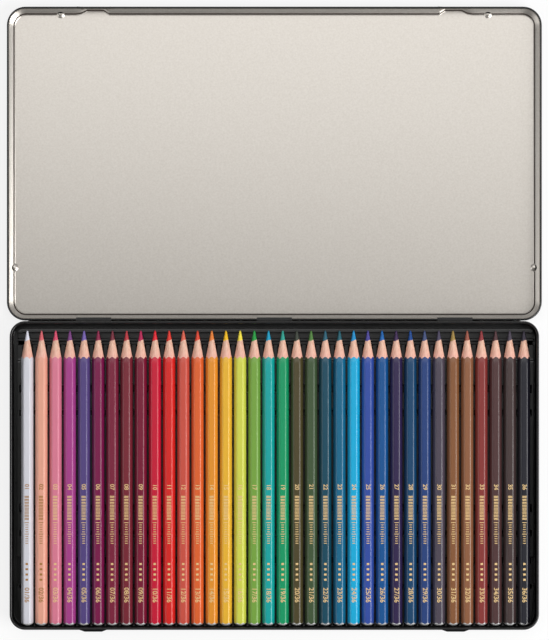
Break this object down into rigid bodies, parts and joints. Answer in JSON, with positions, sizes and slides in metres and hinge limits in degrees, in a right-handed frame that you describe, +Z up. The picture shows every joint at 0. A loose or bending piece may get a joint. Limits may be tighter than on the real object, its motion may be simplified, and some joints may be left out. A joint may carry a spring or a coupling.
{
  "type": "colored pencil tin",
  "caption": "Flat hinged metal tin lying open, with a moulded plastic tray that holds a single row of sharpened hexagonal colored pencils.",
  "frame": {"origin": "centre of the open tin's outline, on the surface that it lies on", "axes": "+Z up; +X to the right along the row of pencils and along the hinge; +Y from the base, which lies in front, to the lid, which lies open behind it"},
  "size_m": [0.317, 0.3698, 0.0125],
  "materials": {
    "black_tinplate": "gloss black stoving enamel on tinplate",
    "bare_tinplate": "bare satin tinplate inside, gloss black enamel outside",
    "black_tray": "thermoformed black polystyrene sheet, semi gloss",
    "paint_01_white": "gloss lacquered cedar casing with a colour lead and a white dipped end",
    "paint_02_apricot": "gloss lacquered cedar casing with a colour lead and a white dipped end",
    "paint_03_pink": "gloss lacquered cedar casing with a colour lead and a white dipped end",
    "paint_04_magenta": "gloss lacquered cedar casing with a colour lead and a white dipped end",
    "paint_05_violet": "gloss lacquered cedar casing with a colour lead and a white dipped end",
    "paint_06_plum": "gloss lacquered cedar casing with a colour lead and a white dipped end",
    "paint_07_carmine": "gloss lacquered cedar casing with a colour lead and a white dipped end",
    "paint_08_burgundy": "gloss lacquered cedar casing with a colour lead and a white dipped end",
    "paint_09_claret": "gloss lacquered cedar casing with a colour lead and a white dipped end",
    "paint_10_crimson": "gloss lacquered cedar casing with a colour lead and a white dipped end",
    "paint_11_red": "gloss lacquered cedar casing with a colour lead and a white dipped end",
    "paint_12_coral": "gloss lacquered cedar casing with a colour lead and a white dipped end",
    "paint_13_vermilion": "gloss lacquered cedar casing with a colour lead and a white dipped end",
    "paint_14_orange": "gloss lacquered cedar casing with a colour lead and a white dipped end",
    "paint_15_amber": "gloss lacquered cedar casing with a colour lead and a white dipped end",
    "paint_16_lemon": "gloss lacquered cedar casing with a colour lead and a white dipped end",
    "paint_17_leaf_green": "gloss lacquered cedar casing with a colour lead and a white dipped end",
    "paint_18_turquoise": "gloss lacquered cedar casing with a colour lead and a white dipped end",
    "paint_19_emerald": "gloss lacquered cedar casing with a colour lead and a white dipped end",
    "paint_20_olive": "gloss lacquered cedar casing with a colour lead and a white dipped end",
    "paint_21_moss_green": "gloss lacquered cedar casing with a colour lead and a white dipped end",
    "paint_22_teal": "gloss lacquered cedar casing with a colour lead and a white dipped end",
    "paint_23_petrol": "gloss lacquered cedar casing with a colour lead and a white dipped end",
    "paint_24_cyan": "gloss lacquered cedar casing with a colour lead and a white dipped end",
    "paint_25_ultramarine": "gloss lacquered cedar casing with a colour lead and a white dipped end",
    "paint_26_blue": "gloss lacquered cedar casing with a colour lead and a white dipped end",
    "paint_27_indigo": "gloss lacquered cedar casing with a colour lead and a white dipped end",
    "paint_28_prussian_blue": "gloss lacquered cedar casing with a colour lead and a white dipped end",
    "paint_29_navy": "gloss lacquered cedar casing with a colour lead and a white dipped end",
    "paint_30_slate_violet": "gloss lacquered cedar casing with a colour lead and a white dipped end",
    "paint_31_ochre": "gloss lacquered cedar casing with a colour lead and a white dipped end",
    "paint_32_sienna": "gloss lacquered cedar casing with a colour lead and a white dipped end",
    "paint_33_russet": "gloss lacquered cedar casing with a colour lead and a white dipped end",
    "paint_34_umber": "gloss lacquered cedar casing with a colour lead and a white dipped end",
    "paint_35_sepia": "gloss lacquered cedar casing with a colour lead and a white dipped end",
    "paint_36_black": "gloss lacquered cedar casing with a colour lead and a white dipped end"
  },
  "bodies": {
    "base": {"base_pan": "black_tinplate", "pencil_tray": "black_tray"},
    "lid": {"lid_pan": "bare_tinplate"},
    "pencil_01_white": {"pencil_01_white": "paint_01_white"},
    "pencil_02_apricot": {"pencil_02_apricot": "paint_02_apricot"},
    "pencil_03_pink": {"pencil_03_pink": "paint_03_pink"},
    "pencil_04_magenta": {"pencil_04_magenta": "paint_04_magenta"},
    "pencil_05_violet": {"pencil_05_violet": "paint_05_violet"},
    "pencil_06_plum": {"pencil_06_plum": "paint_06_plum"},
    "pencil_07_carmine": {"pencil_07_carmine": "paint_07_carmine"},
    "pencil_08_burgundy": {"pencil_08_burgundy": "paint_08_burgundy"},
    "pencil_09_claret": {"pencil_09_claret": "paint_09_claret"},
    "pencil_10_crimson": {"pencil_10_crimson": "paint_10_crimson"},
    "pencil_11_red": {"pencil_11_red": "paint_11_red"},
    "pencil_12_coral": {"pencil_12_coral": "paint_12_coral"},
    "pencil_13_vermilion": {"pencil_13_vermilion": "paint_13_vermilion"},
    "pencil_14_orange": {"pencil_14_orange": "paint_14_orange"},
    "pencil_15_amber": {"pencil_15_amber": "paint_15_amber"},
    "pencil_16_lemon": {"pencil_16_lemon": "paint_16_lemon"},
    "pencil_17_leaf_green": {"pencil_17_leaf_green": "paint_17_leaf_green"},
    "pencil_18_turquoise": {"pencil_18_turquoise": "paint_18_turquoise"},
    "pencil_19_emerald": {"pencil_19_emerald": "paint_19_emerald"},
    "pencil_20_olive": {"pencil_20_olive": "paint_20_olive"},
    "pencil_21_moss_green": {"pencil_21_moss_green": "paint_21_moss_green"},
    "pencil_22_teal": {"pencil_22_teal": "paint_22_teal"},
    "pencil_23_petrol": {"pencil_23_petrol": "paint_23_petrol"},
    "pencil_24_cyan": {"pencil_24_cyan": "paint_24_cyan"},
    "pencil_25_ultramarine": {"pencil_25_ultramarine": "paint_25_ultramarine"},
    "pencil_26_blue": {"pencil_26_blue": "paint_26_blue"},
    "pencil_27_indigo": {"pencil_27_indigo": "paint_27_indigo"},
    "pencil_28_prussian_blue": {"pencil_28_prussian_blue": "paint_28_prussian_blue"},
    "pencil_29_navy": {"pencil_29_navy": "paint_29_navy"},
    "pencil_30_slate_violet": {"pencil_30_slate_violet": "paint_30_slate_violet"},
    "pencil_31_ochre": {"pencil_31_ochre": "paint_31_ochre"},
    "pencil_32_sienna": {"pencil_32_sienna": "paint_32_sienna"},
    "pencil_33_russet": {"pencil_33_russet": "paint_33_russet"},
    "pencil_34_umber": {"pencil_34_umber": "paint_34_umber"},
    "pencil_35_sepia": {"pencil_35_sepia": "paint_35_sepia"},
    "pencil_36_black": {"pencil_36_black": "paint_36_black"}
  },
  "joints": [
    {"name": "lid_hinge", "type": "hinge", "parent": "base", "child": "lid", "pos_m": [0, -0.00038, 0.007], "axis": [-1, 0, 0], "range_deg": [-180, 0]},
    {"name": "lift_01_white", "type": "slide", "parent": "base", "child": "pencil_01_white", "axis": [0, 0, 1], "range_m": [0, 0.025]},
    {"name": "lift_02_apricot", "type": "slide", "parent": "base", "child": "pencil_02_apricot", "axis": [0, 0, 1], "range_m": [0, 0.025]},
    {"name": "lift_03_pink", "type": "slide", "parent": "base", "child": "pencil_03_pink", "axis": [0, 0, 1], "range_m": [0, 0.025]},
    {"name": "lift_04_magenta", "type": "slide", "parent": "base", "child": "pencil_04_magenta", "axis": [0, 0, 1], "range_m": [0, 0.025]},
    {"name": "lift_05_violet", "type": "slide", "parent": "base", "child": "pencil_05_violet", "axis": [0, 0, 1], "range_m": [0, 0.025]},
    {"name": "lift_06_plum", "type": "slide", "parent": "base", "child": "pencil_06_plum", "axis": [0, 0, 1], "range_m": [0, 0.025]},
    {"name": "lift_07_carmine", "type": "slide", "parent": "base", "child": "pencil_07_carmine", "axis": [0, 0, 1], "range_m": [0, 0.025]},
    {"name": "lift_08_burgundy", "type": "slide", "parent": "base", "child": "pencil_08_burgundy", "axis": [0, 0, 1], "range_m": [0, 0.025]},
    {"name": "lift_09_claret", "type": "slide", "parent": "base", "child": "pencil_09_claret", "axis": [0, 0, 1], "range_m": [0, 0.025]},
    {"name": "lift_10_crimson", "type": "slide", "parent": "base", "child": "pencil_10_crimson", "axis": [0, 0, 1], "range_m": [0, 0.025]},
    {"name": "lift_11_red", "type": "slide", "parent": "base", "child": "pencil_11_red", "axis": [0, 0, 1], "range_m": [0, 0.025]},
    {"name": "lift_12_coral", "type": "slide", "parent": "base", "child": "pencil_12_coral", "axis": [0, 0, 1], "range_m": [0, 0.025]},
    {"name": "lift_13_vermilion", "type": "slide", "parent": "base", "child": "pencil_13_vermilion", "axis": [0, 0, 1], "range_m": [0, 0.025]},
    {"name": "lift_14_orange", "type": "slide", "parent": "base", "child": "pencil_14_orange", "axis": [0, 0, 1], "range_m": [0, 0.025]},
    {"name": "lift_15_amber", "type": "slide", "parent": "base", "child": "pencil_15_amber", "axis": [0, 0, 1], "range_m": [0, 0.025]},
    {"name": "lift_16_lemon", "type": "slide", "parent": "base", "child": "pencil_16_lemon", "axis": [0, 0, 1], "range_m": [0, 0.025]},
    {"name": "lift_17_leaf_green", "type": "slide", "parent": "base", "child": "pencil_17_leaf_green", "axis": [0, 0, 1], "range_m": [0, 0.025]},
    {"name": "lift_18_turquoise", "type": "slide", "parent": "base", "child": "pencil_18_turquoise", "axis": [0, 0, 1], "range_m": [0, 0.025]},
    {"name": "lift_19_emerald", "type": "slide", "parent": "base", "child": "pencil_19_emerald", "axis": [0, 0, 1], "range_m": [0, 0.025]},
    {"name": "lift_20_olive", "type": "slide", "parent": "base", "child": "pencil_20_olive", "axis": [0, 0, 1], "range_m": [0, 0.025]},
    {"name": "lift_21_moss_green", "type": "slide", "parent": "base", "child": "pencil_21_moss_green", "axis": [0, 0, 1], "range_m": [0, 0.025]},
    {"name": "lift_22_teal", "type": "slide", "parent": "base", "child": "pencil_22_teal", "axis": [0, 0, 1], "range_m": [0, 0.025]},
    {"name": "lift_23_petrol", "type": "slide", "parent": "base", "child": "pencil_23_petrol", "axis": [0, 0, 1], "range_m": [0, 0.025]},
    {"name": "lift_24_cyan", "type": "slide", "parent": "base", "child": "pencil_24_cyan", "axis": [0, 0, 1], "range_m": [0, 0.025]},
    {"name": "lift_25_ultramarine", "type": "slide", "parent": "base", "child": "pencil_25_ultramarine", "axis": [0, 0, 1], "range_m": [0, 0.025]},
    {"name": "lift_26_blue", "type": "slide", "parent": "base", "child": "pencil_26_blue", "axis": [0, 0, 1], "range_m": [0, 0.025]},
    {"name": "lift_27_indigo", "type": "slide", "parent": "base", "child": "pencil_27_indigo", "axis": [0, 0, 1], "range_m": [0, 0.025]},
    {"name": "lift_28_prussian_blue", "type": "slide", "parent": "base", "child": "pencil_28_prussian_blue", "axis": [0, 0, 1], "range_m": [0, 0.025]},
    {"name": "lift_29_navy", "type": "slide", "parent": "base", "child": "pencil_29_navy", "axis": [0, 0, 1], "range_m": [0, 0.025]},
    {"name": "lift_30_slate_violet", "type": "slide", "parent": "base", "child": "pencil_30_slate_violet", "axis": [0, 0, 1], "range_m": [0, 0.025]},
    {"name": "lift_31_ochre", "type": "slide", "parent": "base", "child": "pencil_31_ochre", "axis": [0, 0, 1], "range_m": [0, 0.025]},
    {"name": "lift_32_sienna", "type": "slide", "parent": "base", "child": "pencil_32_sienna", "axis": [0, 0, 1], "range_m": [0, 0.025]},
    {"name": "lift_33_russet", "type": "slide", "parent": "base", "child": "pencil_33_russet", "axis": [0, 0, 1], "range_m": [0, 0.025]},
    {"name": "lift_34_umber", "type": "slide", "parent": "base", "child": "pencil_34_umber", "axis": [0, 0, 1], "range_m": [0, 0.025]},
    {"name": "lift_35_sepia", "type": "slide", "parent": "base", "child": "pencil_35_sepia", "axis": [0, 0, 1], "range_m": [0, 0.025]},
    {"name": "lift_36_black", "type": "slide", "parent": "base", "child": "pencil_36_black", "axis": [0, 0, 1], "range_m": [0, 0.025]}
  ]
}
